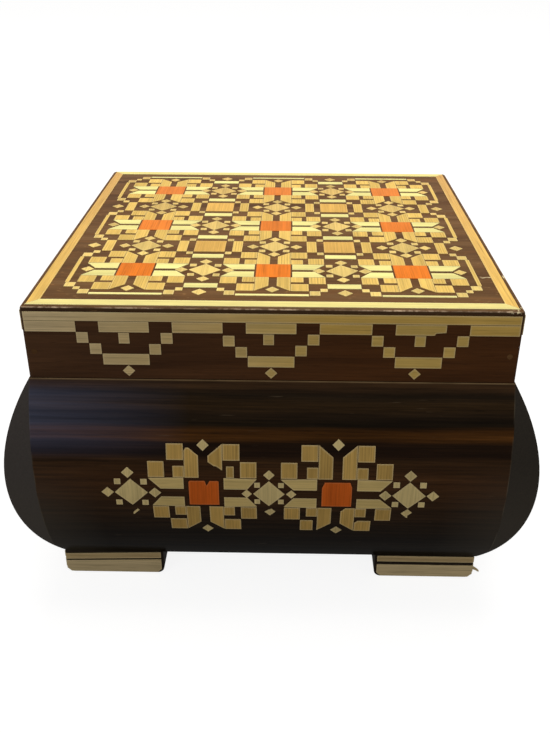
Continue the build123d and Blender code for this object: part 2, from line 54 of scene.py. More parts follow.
INNER_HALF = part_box("case_bottom")[1].x
HALF_LID = LID_HIGH.x
CASE_BOTTOM, CASE_TOP = FRONT_LOW.z, FRONT_HIGH.z

# The photograph's camera, fitted to the lid: where it stands, how it is turned and its lens
CAMERA_PLACE = Vector((0.0063, -0.3608, 0.2484))
CAMERA_PITCH = radians(-28.158)
CAMERA_YAW = radians(-1.03)
CAMERA_ROLL = radians(-0.186)
CAMERA_LENS = 41.16
CAMERA_SENSOR = 36.0
CAMERA_NEAREST = 0.01

# The axes' places in a vector, and the range that most of a noise texture's values lie in
X, Y, Z = range(3)
NOISE_RANGE = (0.3, 0.7)


def srgb(red, green, blue):
    """A screen's colour, from 0 to 255, as linear light by the sRGB curve, with full alpha."""
    shares = [channel / 255 for channel in (red, green, blue)]
    linear = [s / 12.92 if s <= 0.04045 else ((s + 0.055) / 1.055) ** 2.4 for s in shares]
    return (*linear, 1.0)


# Short calls that build a node tree

def add(tree, kind, settings=None, inputs=None):
    """A shader node with its settings, whose inputs are values or other nodes' sockets."""
    node = tree.nodes.new("ShaderNode" + kind)
    for name, value in (settings or {}).items():
        setattr(node, name, value)
    for name, value in (inputs or {}).items():
        if isinstance(value, bpy.types.NodeSocket):
            tree.links.new(value, node.inputs[name])
        else:
            node.inputs[name].default_value = value
    return node


def maths(tree, operation, first, second=0.0):
    """The result of a Math node."""
    return add(tree, "Math", {"operation": operation}, {0: first, 1: second}).outputs[0]


def absolute(tree, value):
    """A value without its sign."""
    return maths(tree, "ABSOLUTE", value)


def plus(tree, first, second):
    """The sum of two values."""
    return maths(tree, "ADD", first, second)


def minus(tree, first, second):
    """The difference of two values."""
    return maths(tree, "SUBTRACT", first, second)


def times(tree, first, *others):
    """The product of two values or more."""
    product = first
    for other in others:
        product = maths(tree, "MULTIPLY", product, other)
    return product


def most(tree, first, *others):
    """The greatest of two values or more."""
    greatest = first
    for other in others:
        greatest = maths(tree, "MAXIMUM", greatest, other)
    return greatest


def between(tree, value, low, high, new_low=0.0, new_high=1.0):
    """A value rescaled from one range to another and held inside it."""
    inputs = {0: value, 1: low, 2: high, 3: new_low, 4: new_high}
    return add(tree, "MapRange", {"clamp": True}, inputs).outputs[0]


def near(tree, value, target, width):
    """1 where a value is at its target, falling to 0 at the given distance."""
    gap = absolute(tree, minus(tree, value, target))
    return between(tree, gap, 0.0, width, 1.0, 0.0)


def split(tree, vector):
    """The X, Y and Z of a vector, or the three channels of a colour."""
    return add(tree, "SeparateXYZ", None, {0: vector}).outputs[:3]


def joined(tree, x, y, z):
    """A vector from its X, Y and Z."""
    return add(tree, "CombineXYZ", None, {0: x, 1: y, 2: z}).outputs[0]


def mixed(tree, share, first, second, blend="MIX"):
    """Two colours mixed by a share.

    A Mix node has an A and a B for each kind of value, so its sockets go by number.
    """
    settings = {"data_type": "RGBA", "blend_type": blend, "clamp_factor": True}
    return add(tree, "Mix", settings, {0: share, 6: first, 7: second}).outputs[2]


def tinted(tree, colour, tint):
    """A colour multiplied by another."""
    return mixed(tree, 1.0, colour, tint, "MULTIPLY")


def shaded(tree, colour, tone):
    """A colour made darker by a tone below 1, or lighter by one above it."""
    return tinted(tree, colour, joined(tree, tone, tone, tone))


def painted(tree, share, colour, paint):
    """A colour with a share of paint over it."""
    return mixed(tree, share, colour, srgb(*paint))


def ramp(tree, share, stops):
    """A colour ramp through (place, colour) stops."""
    node = add(tree, "ValToRGB", None, {0: share})
    elements = node.color_ramp.elements
    while len(elements) < len(stops):
        elements.new(0.5)
    for element, (place, colour) in zip(elements, stops):
        element.position = place
        element.color = srgb(*colour)
    return node.outputs[0]


def noise(tree, place, detail=2.0, roughness=0.5, distortion=0.0):
    """A noise texture's value."""
    inputs = {"Vector": place, "Scale": 1.0, "Detail": detail, "Roughness": roughness}
    inputs["Distortion"] = distortion
    return add(tree, "TexNoise", None, inputs).outputs[0]


def drawn(tree, place, scale, **shape):
    """A noise texture with a scale of its own along each axis. A small one draws it out."""
    scaled = add(tree, "Mapping", None, {"Vector": place, "Scale": scale}).outputs[0]
    return noise(tree, scaled, **shape)


def varied(tree, texture, low, high):
    """A value that goes from low to high with a noise texture."""
    return between(tree, texture, *NOISE_RANGE, low, high)


def wandered(tree, value, texture, reach):
    """A value that strays to both sides with a noise texture, by up to half the reach."""
    return plus(tree, value, times(tree, minus(tree, texture, 0.5), reach))


class Ground:
    """Where a point of an object lies and which way it faces, in the object's own coordinates.

    Along and across are its places on the two level axes, along the board's grain and across it.
    """

    def __init__(self, tree, along_x=True):
        source = add(tree, "TexCoord")
        self.place = source.outputs["Object"]
        self.x, self.y, self.z = split(tree, self.place)
        self.facing = split(tree, source.outputs["Normal"])
        self.along, self.across = (self.x, self.y) if along_x else (self.y, self.x)

    def grain(self, tree, shift):
        """Coordinates with the grain along their first axis, shifted from board to board."""
        return joined(tree, plus(tree, self.along, shift), self.across, self.z)


def painted_light_gradient(tree, ground, change, first, second):
    """Painted light: a colour that turns into another along an axis, as the light falls differently
    along it. Change is the axis, its start and its end.
    """
    axis, start, stop = change
    share = between(tree, (ground.x, ground.y, ground.z)[axis], start, stop)
    return mixed(tree, share, srgb(*first), srgb(*second))


def new_material(name, **constants):
    """A material with one Principled shader, whose constant sockets are set directly."""
    material = bpy.data.materials.new(name)
    material.use_nodes = True
    tree = material.node_tree
    shader = tree.nodes["Principled BSDF"]
    for socket, value in constants.items():
        shader.inputs[socket.replace("_", " ")].default_value = value
    return material, tree, shader


def finish_surface(tree, shader, colour, roughness, height, bump):
    """Gives a shader its colour, its roughness, and a bump of some depth and strength."""
    tree.links.new(colour, shader.inputs["Base Color"])
    tree.links.new(roughness, shader.inputs["Roughness"])
    depth, strength = bump
    relief = add(tree, "Bump", None, {"Height": height, "Distance": depth, "Strength": strength})
    tree.links.new(relief.outputs[0], shader.inputs["Normal"])


# Straw: how wide a split stalk is, how far its fine cracks lie apart and how wide its rubbed rim is
STALK_WIDTH = 0.0034
CRACK_SPACING = 0.0011
RIM_WIDTH = 0.0008

# Its textures, with their scales across the stalks and along them, and their shift between pieces
STRAW_FIBRES = {"scale": (2600.0, 45.0), "detail": 3.0, "roughness": 0.6}
STRAW_STREAKS = {"scale": (900.0, 22.0)}
STRAW_MOTTLE = {"scale": (160.0, 90.0), "detail": 3.0}
PIECE_SHIFT = 37.0

# How dark and how light its streaks and its mottle make it
STREAK_TONES = (0.93, 1.05)
MOTTLE_TONES = (0.94, 1.05)

# Between which values of the fibre texture a fibre darkens, softly and sharply, how light the
# lightest is, and how much of a material's line strength the fibres and the seams get
SOFT_FIBRES = (0.35, 0.6)
SHARP_FIBRES = (0.30, 0.40)
LIGHTEST_FIBRE = 1.04
SOFT_FIBRE_SHARE, SHARP_FIBRE_SHARE, SEAM_SHARE = 0.5, 0.65, 0.7

# Where a stalk's seam and a fine crack start and are full, from the middle of a stripe to its edge,
# the streaks that a crack needs, and the pieces that have them, by a chance of their own
SEAM_EDGE = (0.47, 0.5)
CRACK_EDGE = (0.34, 0.47)
CRACK_STREAKS = (0.35, 0.6)
CRACK_CHANCE = (0.3, 0.9)
CHANCE_STEP = 7.0

# Its gloss, its bump, what the fibres and the seams add to the bump's height, and how much of the
# rim's colour shows on the lid's top and on the walls
STRAW_SHEEN = {"Specular_IOR_Level": 0.0, "Coat_Roughness": 0.28}
STRAW_ROUGHNESS = (0.30, 0.44)
STRAW_BUMP = (0.00006, 0.5)
FIBRE_HEIGHT, SEAM_HEIGHT = 0.4, -0.8
TOP_COAT, WALL_COAT = 0.12, 0.05
TOP_RIM, WALL_RIM = 0.5, 0.7

# How alike the rounded and the true normal are where a rim starts and where it is full, and how
# many samples the rounding takes
RIM_LIKENESS = (0.998, 0.95)
RIM_SAMPLES = 5

# Where a straw's other colour, which is painted light, takes over: the axis, where it starts and
# where it is whole
TO_THE_RIGHT = (X, -0.09, 0.02)
TO_THE_BACK = (Y, -0.09, 0.09)
HEARTS_TO_THE_BACK = (Y, -0.06, 0.07)
UP_THE_FOOT = (Z, 0.006, 0.0075)

# The rubbed rims' usual colour, and the golden straw's on the lid's top
USUAL_RIM = (226, 206, 158)
GOLDEN_RIM = (252, 230, 160)

# The wood's stain where it has run over the straw, and how much its edge fades and wanders
STAIN = (92, 64, 38)
STAIN_FADE = 0.00015
STAIN_WANDER = 0.0004

# How far a normal leans to the left or right where a wall counts as a side one
SIDE_FACING = 0.7


def stalk_places(tree, ground, wall, grain_up):
    """A point's place across the stalks and along them, on a wall of the box or on the lid's top."""
    first, second = ground.x, ground.y
    if wall:
        side = maths(tree, "GREATER_THAN", absolute(tree, ground.facing[X]), SIDE_FACING)
        level = add(tree, "Mix", {"data_type": "FLOAT"}, {0: side, 2: ground.x, 3: ground.y})
        first, second = level.outputs[0], ground.z
    return (first, second) if grain_up else (second, first)


def from_middle(tree, count):
    """How far a point lies from the middle of its stripe, up to 0.5, by a running count of them."""
    return absolute(tree, minus(tree, maths(tree, "FRACT", count), 0.5))


def fine_cracks(tree, across, piece, shift, streaks, splits):
    """The tone of the fine cracks along the stalks, which only some pieces have."""
    stripe = plus(tree, maths(tree, "DIVIDE", across, CRACK_SPACING), shift)
    crack = between(tree, from_middle(tree, stripe), *CRACK_EDGE)
    crack = times(tree, crack, between(tree, streaks, *CRACK_STREAKS))
    chance = maths(tree, "FRACT", times(tree, piece, CHANCE_STEP))
    depth = between(tree, chance, *CRACK_CHANCE, 0.0, splits)
    return minus(tree, 1.0, times(tree, crack, depth))


def rubbed_rim(tree, strength):
    """How much of the rubbed rim shows, found where a rounded edge turns from the true face."""
    rounded = add(tree, "Bevel", {"samples": RIM_SAMPLES}, {"Radius": RIM_WIDTH}).outputs[0]
    normals = {0: rounded, 1: add(tree, "NewGeometry").outputs["Normal"]}
    alike = add(tree, "VectorMath", {"operation": "DOT_PRODUCT"}, normals).outputs["Value"]
    return between(tree, alike, *RIM_LIKENESS, 0.0, strength)


def straw_material(
    name, colour, wall, grain_up, spread=0.10, strips=0.07, lines=0.25,
    other=None, change=TO_THE_RIGHT, splits=0.0, rim=USUAL_RIM, stained=None,
):
    """Flattened straw: split stalks side by side, with fine fibres along them.

    Wall says whether it lies on a wall or on the lid's top, and grain_up whether the fibres run up
    the wall, or front to back on the top. Spread is how much pieces differ, strips how much the
    stalks in one piece differ, and lines how dark the fibres are. The other colour, where there is
    one, is painted light: it takes over along the axis that change names, as the light falls
    differently along it. Splits is how dark the fine cracks along the stalks are, and rim is the
    colour of the pieces' rubbed edges. Stained is how far from the middle of the box the wood's
    stain has run over the straw.
    """
    coat, rim_strength = (WALL_COAT, WALL_RIM) if wall else (TOP_COAT, TOP_RIM)
    material, tree, shader = new_material(name, Coat_Weight=coat, **STRAW_SHEEN)
    ground = Ground(tree)
    across, along = stalk_places(tree, ground, wall, grain_up)
    piece = add(tree, "Attribute", {"attribute_name": "piece"}).outputs["Fac"]
    shift = times(tree, piece, PIECE_SHIFT)

    def on_straw(scale, **shape):
        place = joined(tree, times(tree, across, scale[0]), times(tree, along, scale[1]), shift)
        return noise(tree, place, **shape)

    fibres = on_straw(**STRAW_FIBRES)
    streaks = on_straw(**STRAW_STREAKS)
    mottle = on_straw(**STRAW_MOTTLE)
    stalk = plus(tree, maths(tree, "DIVIDE", across, STALK_WIDTH), shift)
    seam = between(tree, from_middle(tree, stalk), *SEAM_EDGE)
    number = {"W": maths(tree, "FLOOR", stalk)}
    chance = add(tree, "TexWhiteNoise", {"noise_dimensions": "1D"}, number).outputs["Value"]

    tone = times(
        tree,
        between(tree, piece, 0.0, 1.0, 1 - spread, 1 + spread),
        between(tree, chance, 0.0, 1.0, 1 - strips, 1 + strips),
        between(tree, fibres, *SOFT_FIBRES, 1 - lines * SOFT_FIBRE_SHARE, LIGHTEST_FIBRE),
        varied(tree, streaks, *STREAK_TONES),
        varied(tree, mottle, *MOTTLE_TONES),
        minus(tree, 1.0, times(tree, seam, lines * SEAM_SHARE)),
        between(tree, fibres, *SHARP_FIBRES, 1 - lines * SHARP_FIBRE_SHARE, 1.0),
    )
    if splits:
        tone = times(tree, tone, fine_cracks(tree, across, piece, shift, streaks, splits))
    # The other colour along the axis is painted light
    toned = shaded(tree, painted_light_gradient(tree, ground, change, colour, other or colour), tone)
    toned = painted(tree, rubbed_rim(tree, rim_strength), toned, rim)
    if stained:
        edge = wandered(tree, absolute(tree, ground.x), mottle, STAIN_WANDER)
        toned = painted(tree, between(tree, edge, stained, stained + STAIN_FADE), toned, STAIN)

    roughness = varied(tree, streaks, *STRAW_ROUGHNESS)
    height = plus(tree, times(tree, fibres, FIBRE_HEIGHT), times(tree, seam, SEAM_HEIGHT))
    finish_surface(tree, shader, toned, roughness, height, STRAW_BUMP)
    return material


# Wood: its textures, with the grain along the first axis, and the places of the dark, middle and
# light tones in its figure
WOOD_FIGURE = {"scale": (9, 120, 120), "detail": 5.0, "roughness": 0.55, "distortion": 0.6}
WOOD_FIBRES = {"scale": (40, 1500, 1500), "detail": 3.0, "roughness": 0.6}
WOOD_PORES = {"scale": (160, 3200, 3200), "detail": 1.0}
FIGURE_STOPS = (0.3, 0.5, 0.72)

# How dark and how light its fibres make it, and where a pore is full and ends and how dark it is
FIBRE_TONES = (0.8, 1.18)
PORE_RANGE = (0.28, 0.36)
PORE_TONE = 0.7

# Its gloss and its bump
WOOD_SHEEN = {"Specular_IOR_Level": 0.0, "Coat_Roughness": 0.2}
WOOD_ROUGHNESS = (0.29, 0.44)
WOOD_BUMP = (0.00005, 0.35)
WOOD_COAT, PANEL_COAT = 0.05, 0.1


def figured(tree, place, light, middle, dark):
    """Plain wood's long soft figure: its colour and the texture that draws it."""
    figure = drawn(tree, place, **WOOD_FIGURE)
    return ramp(tree, figure, list(zip(FIGURE_STOPS, (dark, middle, light)))), figure


def wood_material(name, light, middle, dark, along_x=True, shift=0.0, wear_and_light=None, coat=WOOD_COAT):
    """Stained and varnished wood with long soft figure, fine fibres and short dark pores.

    Its wear and light function adds a board's own marks, and painted light, to its colour.
    """
    material, tree, shader = new_material(name, Coat_Weight=coat, **WOOD_SHEEN)
    ground = Ground(tree, along_x)
    place = ground.grain(tree, shift)
    colour, figure = figured(tree, place, light, middle, dark)
    fibres = drawn(tree, place, **WOOD_FIBRES)
    pores = between(tree, drawn(tree, place, **WOOD_PORES), *PORE_RANGE, PORE_TONE, 1.0)
    colour = shaded(tree, colour, times(tree, varied(tree, fibres, *FIBRE_TONES), pores))
    if wear_and_light:
        colour = wear_and_light(tree, ground, colour)
    roughness = varied(tree, fibres, *WOOD_ROUGHNESS)
    finish_surface(tree, shader, colour, roughness, plus(tree, fibres, figure), WOOD_BUMP)
    return material


# Patches of paint over a colour: the texture, where it starts and is full, how strong the paint is
# there, and its colour
WARM_PATCHES = (
    {"scale": (70, 160, 160), "detail": 3.0, "distortion": 0.8}, (0.48, 0.7), 0.35, (138, 88, 44)
)
PALE_FLECKS = ({"scale": (260, 900, 900)}, (0.66, 0.74), 0.45, (204, 156, 96))
SCRATCHES = ({"scale": (90, 90, 1500), "roughness": 0.4}, (0.73, 0.8), 0.35, (116, 100, 80))

# The lid's panel: a painted reflection, paler and bluer from front to back, given as a tint where
# 255 leaves a channel as it is
PANEL_CHANGE = (Y, -HALF_LID, HALF_LID)
PANEL_FRONT, PANEL_BACK = (252, 250, 246), (268, 268, 280)

# Its arris, by how far below the top it starts and ends to darken and by how much, and the pale
# line on it, partly a painted highlight and partly rubbed pale wood, with the fine and the coarse
# texture that break the line, and their ranges
ARRIS_RANGE = (0.00004, 0.0007)
ARRIS_TONES = (0.85, 0.3)
ARRIS_HIGHLIGHT_DROP = 0.00042
ARRIS_HIGHLIGHT_WIDTH = 0.00028
ARRIS_HIGHLIGHT_COLOUR = (244, 214, 180)
FINE_BREAKS = {"scale": (620, 620, 900), "detail": 4.0}
COARSE_BREAKS = {"scale": (45, 45, 45), "detail": 3.0}
FINE_BREAK_RANGE = (0.42, 0.6)
COARSE_BREAK_RANGE = (0.4, 0.62)
BROKEN_STRENGTH = 0.25

# Its crack: its place on Y and how it wanders, how far in from the right edge it fades and is whole,
# and the chip at its outer end
CRACK_Y = -0.0584
CRACK_TEXTURE = {"scale": (300, 300, 300), "detail": 3.0}
CRACK_WANDER = 0.004
CRACK_WIDTH = 0.0006
CRACK_FADE = (0.0105, 0.0085)
CHIP_SHIFT = 0.0008
CHIP_WIDTH = 0.0022
CHIP_LENGTH = 0.0017

# Its rubbed corner at the front right: how far in from the corner it starts and is whole, measured
# along both sides together, how far down it reaches, and the texture that breaks it
CORNER_FADE = (0.007, 0.003)
CORNER_DROP = (0.0011, 0.0009)
CORNER_TEXTURE = {"scale": (700, 700, 700), "detail": 3.0}
CORNER_RANGE = (0.5, 0.58)
BARE_WOOD = (242, 224, 180)

# The rails' painted light, as a tint from left to right: cooler to the left, warmer and darker to
# the right
RAIL_CHANGE = (X, -HALF_LID, 0.03)
RAIL_LEFT, RAIL_RIGHT = (255, 252, 252), (240, 214, 176)


def patched(tree, ground, colour, patches):
    """A colour with patches of paint, drawn in the object's own coordinates."""
    texture, (start, full), strength, paint = patches
    share = between(tree, drawn(tree, ground.place, **texture), start, full, 0.0, strength)
    return painted(tree, share, colour, paint)


def broken_highlight(tree, ground):
    """How strong the arris's pale line, partly a painted highlight and partly rubbed pale wood,
    shows from place to place along it.
    """
    fine = drawn(tree, ground.place, **FINE_BREAKS)
    coarse = drawn(tree, ground.place, **COARSE_BREAKS)
    fine = between(tree, fine, *FINE_BREAK_RANGE, BROKEN_STRENGTH, 1.0)
    return times(tree, fine, between(tree, coarse, *COARSE_BREAK_RANGE, BROKEN_STRENGTH, 1.0))


def panel_marks(tree, ground, drop):
    """How much bare wood shows in the panel's crack, at its chip and at the rubbed corner."""
    y = wandered(tree, ground.y, drawn(tree, ground.place, **CRACK_TEXTURE), CRACK_WANDER)
    fade, whole = (HALF_LID - inset for inset in CRACK_FADE)
    crack = times(tree, near(tree, y, CRACK_Y, CRACK_WIDTH), between(tree, ground.x, fade, whole))
    outer = maths(tree, "GREATER_THAN", ground.x, HALF_LID - CHIP_LENGTH)
    chip = times(tree, near(tree, y, CRACK_Y + CHIP_SHIFT, CHIP_WIDTH), outer)
    fade, whole = (2 * HALF_LID - inset for inset in CORNER_FADE)
    corner = times(
        tree,
        between(tree, minus(tree, ground.x, ground.y), fade, whole),
        between(tree, drop, *CORNER_DROP),
        between(tree, drawn(tree, ground.place, **CORNER_TEXTURE), *CORNER_RANGE),
    )
    return most(tree, crack, chip, corner)


def panel_wear_and_sheen(tree, ground, colour):
    """The panel's painted reflection, paler and bluer towards the back, its patches, and its arris,
    dark under a broken pale line that is partly a painted highlight and partly rubbed pale wood,
    with a crack and rubs.
    """
    # Painted reflection: the panel turns paler and bluer towards the back
    colour = tinted(tree, colour, painted_light_gradient(tree, ground, PANEL_CHANGE, PANEL_FRONT, PANEL_BACK))
    colour = patched(tree, ground, colour, WARM_PATCHES)
    colour = patched(tree, ground, colour, PALE_FLECKS)
    drop = minus(tree, LID_HIGH.z, ground.z)
    colour = shaded(tree, colour, between(tree, drop, *ARRIS_RANGE, *ARRIS_TONES))
    # The pale line on the arris: partly a painted highlight, partly rubbed pale wood
    line = near(tree, drop, ARRIS_HIGHLIGHT_DROP, ARRIS_HIGHLIGHT_WIDTH)
    line = times(tree, line, broken_highlight(tree, ground))
    colour = painted(tree, line, colour, ARRIS_HIGHLIGHT_COLOUR)
    return painted(tree, panel_marks(tree, ground, drop), colour, BARE_WOOD)


def rail_painted_light(tree, ground, colour):
    """Painted light on the rails: a tint that is browner and deeper to the right of the box."""
    return tinted(tree, colour, painted_light_gradient(tree, ground, RAIL_CHANGE, RAIL_LEFT, RAIL_RIGHT))


# The case's veneer: its bands by their share of the height, from the bottom edge up
BANDS = [
    (0.00, (26, 22, 16)), (0.19, (25, 18, 11)), (0.28, (34, 24, 14)), (0.40, (48, 32, 18)),
    (0.55, (64, 40, 21)), (0.66, (54, 35, 18)), (0.685, (30, 17, 8)), (0.745, (34, 20, 9)),
    (0.765, (76, 46, 17)), (0.80, (72, 43, 15)), (0.825, (28, 20, 10)), (0.87, (36, 25, 14)),
    (0.90, (54, 38, 20)), (0.94, (34, 25, 15)), (0.975, (61, 42, 25)),
]

# Its textures, with the grain along the first axis, and what they do to its tone
CASE_WAVE = {"scale": (7, 20, 40), "detail": 4.0}
CASE_FIBRES = {"scale": (30, 400, 1300), "detail": 4.0, "roughness": 0.65}
CASE_STREAKS = {"scale": (11, 200, 420), "detail": 4.0, "roughness": 0.6, "distortion": 0.3}
CASE_PORES = {"scale": (120, 2000, 3000), "detail": 1.0}
CASE_FIBRE_TONES = (0.62, 1.42)
CASE_STREAK_TONES = (0.65, 1.4)
CASE_PORE_RANGE = (0.28, 0.35)
CASE_ROUGHNESS = (0.26, 0.4)
CASE_BUMP = (0.00006, 0.35)

# Its end grain, and how far a normal leans along the board where it starts and is full
END_GRAIN = {"scale": (1500, 1500, 1500), "detail": 3.0}
END_FACING = (0.6, 0.8)

# A painted grey reflection, stronger towards the corners and downwards, and pale specks, at the
# middles of some of the cells of a cell texture
LOW_REFLECTION_RANGE = (0.066, 0.088)
LOW_REFLECTION_HEIGHTS = (0.07, 0.04)
LOW_REFLECTION_STRENGTH = 0.4
LOW_REFLECTION = (78, 72, 64)
SPECK_CELLS = 75.0
SPECK_CHANCE = 0.86
SPECK_RADIUS = 0.025
SPECK_STRENGTH = 0.7
SPECK_COLOUR = (170, 160, 140)

# The line of wear along the top edge, off its level face, and the line of the joint between two
# boards
THINNING = {"scale": (90, 90, 90), "detail": 3.0}
TOP_LINE_WIDTH = 0.0006
TOP_LINE_RANGE = (0.35, 0.6)
TOP_LINE_WEAKEST = 0.6
TOP_LINE_STRENGTH = 0.9
TOP_LINE_COLOUR = (150, 124, 88)
LEVEL_FACING = (0.9, 0.8)
JOINT_WIDTH = 0.0005
JOINT_RANGE = (0.4, 0.65)
JOINT_STRENGTH = 0.6
JOINT_COLOUR = (104, 98, 84)

# The plain wood of its inner faces
INSIDE_TONES = (96, 65, 38), (78, 51, 28), (56, 36, 20)
INSIDE_MARGIN = 0.0001

# The painted bluish reflection at the front's upper left: its reach on X, the heights that it
# fades between, and how the streaks break it
BLUE_REFLECTION_REACH = (-0.03, -0.092)
BLUE_REFLECTION_BOTTOM = (0.068, 0.078)
BLUE_REFLECTION_TOP = (0.098, 0.092)
BLUE_REFLECTION_STREAKS = (0.2, 0.7)
BLUE_REFLECTION_WEAKEST = 0.4
BLUE_REFLECTION_STRENGTH = 0.5
BLUE_REFLECTION = (92, 100, 128)


def veneer(tree, ground, place, sway):
    """The banded veneer, whose bands sway up and down: its colour, its fibres and its streaks."""
    height = wandered(tree, ground.z, drawn(tree, place, **CASE_WAVE), sway)
    colour = ramp(tree, between(tree, height, CASE_BOTTOM, CASE_TOP), BANDS)
    fibres = drawn(tree, place, **CASE_FIBRES)
    streaks = drawn(tree, place, **CASE_STREAKS)
    pores = drawn(tree, place, **CASE_PORES)
    tone = times(
        tree,
        varied(tree, fibres, *CASE_FIBRE_TONES),
        varied(tree, streaks, *CASE_STREAK_TONES),
        between(tree, pores, *CASE_PORE_RANGE, PORE_TONE, 1.0),
    )
    return shaded(tree, colour, tone), fibres, streaks


def case_ends(tree, ground, colour, along_x, ends):
    """The end grain, in two tones, on the faces that look along the board."""
    end = between(tree, absolute(tree, ground.facing[X if along_x else Y]), *END_FACING)
    grain = drawn(tree, ground.place, **END_GRAIN)
    return mixed(tree, end, colour, mixed(tree, grain, srgb(*ends[0]), srgb(*ends[1])))


def case_low_reflection_and_marks(tree, ground, colour):
    """A painted grey reflection in the low corners, fine pale scratches and a few specks."""
    reflected = between(tree, absolute(tree, ground.along), *LOW_REFLECTION_RANGE, 0.0, LOW_REFLECTION_STRENGTH)
    reflected = times(tree, reflected, between(tree, ground.z, *LOW_REFLECTION_HEIGHTS))
    colour = painted(tree, reflected, colour, LOW_REFLECTION)
    colour = patched(tree, ground, colour, SCRATCHES)
    specks = add(tree, "TexVoronoi", None, {"Vector": ground.place, "Scale": SPECK_CELLS})
    chosen = maths(tree, "GREATER_THAN", split(tree, specks.outputs["Color"])[0], SPECK_CHANCE)
    inside = maths(tree, "LESS_THAN", specks.outputs["Distance"], SPECK_RADIUS)
    return painted(tree, times(tree, chosen, inside, SPECK_STRENGTH), colour, SPECK_COLOUR)


def case_edges(tree, ground, colour, joints):
    """The line of wear along the top edge, and the joints' lines on a board that carries them."""
    thinning = drawn(tree, ground.place, **THINNING)
    line = times(
        tree,
        near(tree, ground.z, CASE_TOP, TOP_LINE_WIDTH),
        between(tree, thinning, *TOP_LINE_RANGE, TOP_LINE_WEAKEST, 1.0),
        between(tree, absolute(tree, ground.facing[Z]), *LEVEL_FACING, 0.0, TOP_LINE_STRENGTH),
    )
    colour = painted(tree, line, colour, TOP_LINE_COLOUR)
    if joints:
        joint = near(tree, absolute(tree, ground.along), HALF_LID, JOINT_WIDTH)
        joint = times(tree, joint, between(tree, thinning, *JOINT_RANGE), JOINT_STRENGTH)
        colour = painted(tree, joint, colour, JOINT_COLOUR)
    return colour


def case_inside(tree, ground, place, colour):
    """Plain wood on the inner faces."""
    plain = figured(tree, place, *INSIDE_TONES)[0]
    across = absolute(tree, ground.across)
    inward = maths(tree, "LESS_THAN", across, INNER_HALF + INSIDE_MARGIN)
    return mixed(tree, inward, colour, plain)


def case_blue_reflection(tree, ground, colour, streaks):
    """A painted bluish reflection in the varnish."""
    level = between(tree, ground.z, *BLUE_REFLECTION_BOTTOM)
    level = times(tree, level, between(tree, ground.z, *BLUE_REFLECTION_TOP))
    cloud = times(
        tree,
        between(tree, ground.x, *BLUE_REFLECTION_REACH),
        level,
        between(tree, streaks, *BLUE_REFLECTION_STREAKS, BLUE_REFLECTION_WEAKEST, 1.0),
        BLUE_REFLECTION_STRENGTH,
    )
    return painted(tree, cloud, colour, BLUE_REFLECTION)


def case_material(name, ends, along_x=True, shift=0.0, sway=0.006, blue_reflection=False):
    """A case board: banded veneer outside, end grain at its ends and plain wood inside.

    Ends are the two tones of its end grain, and sway is how far its bands wander up and down. The
    boards that run along X end at the joints with the other two, and carry the joints' lines.
    """
    material, tree, shader = new_material(name, Coat_Weight=WOOD_COAT, **WOOD_SHEEN)
    ground = Ground(tree, along_x)
    place = ground.grain(tree, shift)
    colour, fibres, streaks = veneer(tree, ground, place, sway)
    colour = case_ends(tree, ground, colour, along_x, ends)
    colour = case_low_reflection_and_marks(tree, ground, colour)
    colour = case_edges(tree, ground, colour, joints=along_x)
    colour = case_inside(tree, ground, place, colour)
    # A painted bluish reflection at the front's upper left
    if blue_reflection:
        colour = case_blue_reflection(tree, ground, colour, streaks)
    roughness = varied(tree, fibres, *CASE_ROUGHNESS)
    finish_surface(tree, shader, colour, roughness, fibres, CASE_BUMP)
    return material


# The hinges' brass: the tones of its tarnish, its dull and its clean places, its textures, its
# roughness from tarnished to clean, and its bump
BRASS_STOPS = [(0.35, (104, 76, 40)), (0.55, (172, 134, 74)), (0.7, (196, 158, 92))]
BRASS_BLOTCHES = {"scale": (350, 350, 350), "detail": 5.0, "roughness": 0.6}
BRASS_SCRATCHES = {"scale": (150, 4000, 4000)}
BRASS_ROUGHNESS = (0.5, 0.28)
BRASS_BUMP = (0.00004, 0.4)


def brass_material():
    """Dull hinge brass with brown tarnish in blotches."""
    material, tree, shader = new_material("hinge_brass_aged", Metallic=1.0)
    ground = Ground(tree)
    blotches = drawn(tree, ground.place, **BRASS_BLOTCHES)
    height = plus(tree, blotches, drawn(tree, ground.place, **BRASS_SCRATCHES))
    roughness = varied(tree, blotches, *BRASS_ROUGHNESS)
    colour = ramp(tree, blotches, BRASS_STOPS)
    finish_surface(tree, shader, colour, roughness, height, BRASS_BUMP)
    return material


# Dressing the CAD nodes

def dress(names, material):
    """Gives CAD nodes a material."""
    for name in names:
        slots = nodes[name].data.materials
        slots.clear()
        slots.append(material)


def number_pieces(name):
    """Gives each separate solid of a node a number of its own from 0 to 1, as a mesh attribute."""
    mesh = nodes[name].data
    points = [tuple(round(value, 6) for value in vertex.co) for vertex in mesh.vertices]
    leader = {point: point for point in points}

    def lead(point):
        while leader[point] != point:
            point = leader[point]
        return point

    for polygon in mesh.polygons:
        corners = [lead(points[index]) for index in polygon.vertices]
        first = min(corners)
        for corner in corners:
            leader[corner] = first
    chance = random.Random(name)
    numbers = {point: chance.random() for point in sorted({lead(point) for point in points})}
    attribute = mesh.attributes.new("piece", "FLOAT", "POINT")
    attribute.data.foreach_set("value", [numbers[lead(point)] for point in points])


# Each wood's light, middle and dark tone, and the two tones of the case's end grain
PANEL_TONES = (133, 99, 63), (115, 83, 50), (94, 64, 38)
RAIL_TONES = (90, 62, 40), (79, 54, 35), (66, 44, 28)
PEG_TONES = (112, 80, 48), (88, 60, 34), (60, 40, 22)
BOTTOM_TONES = (150, 112, 72), (128, 92, 56), (100, 70, 42)
FOOT_TONES = (52, 42, 32), (40, 32, 24), (28, 22, 16)
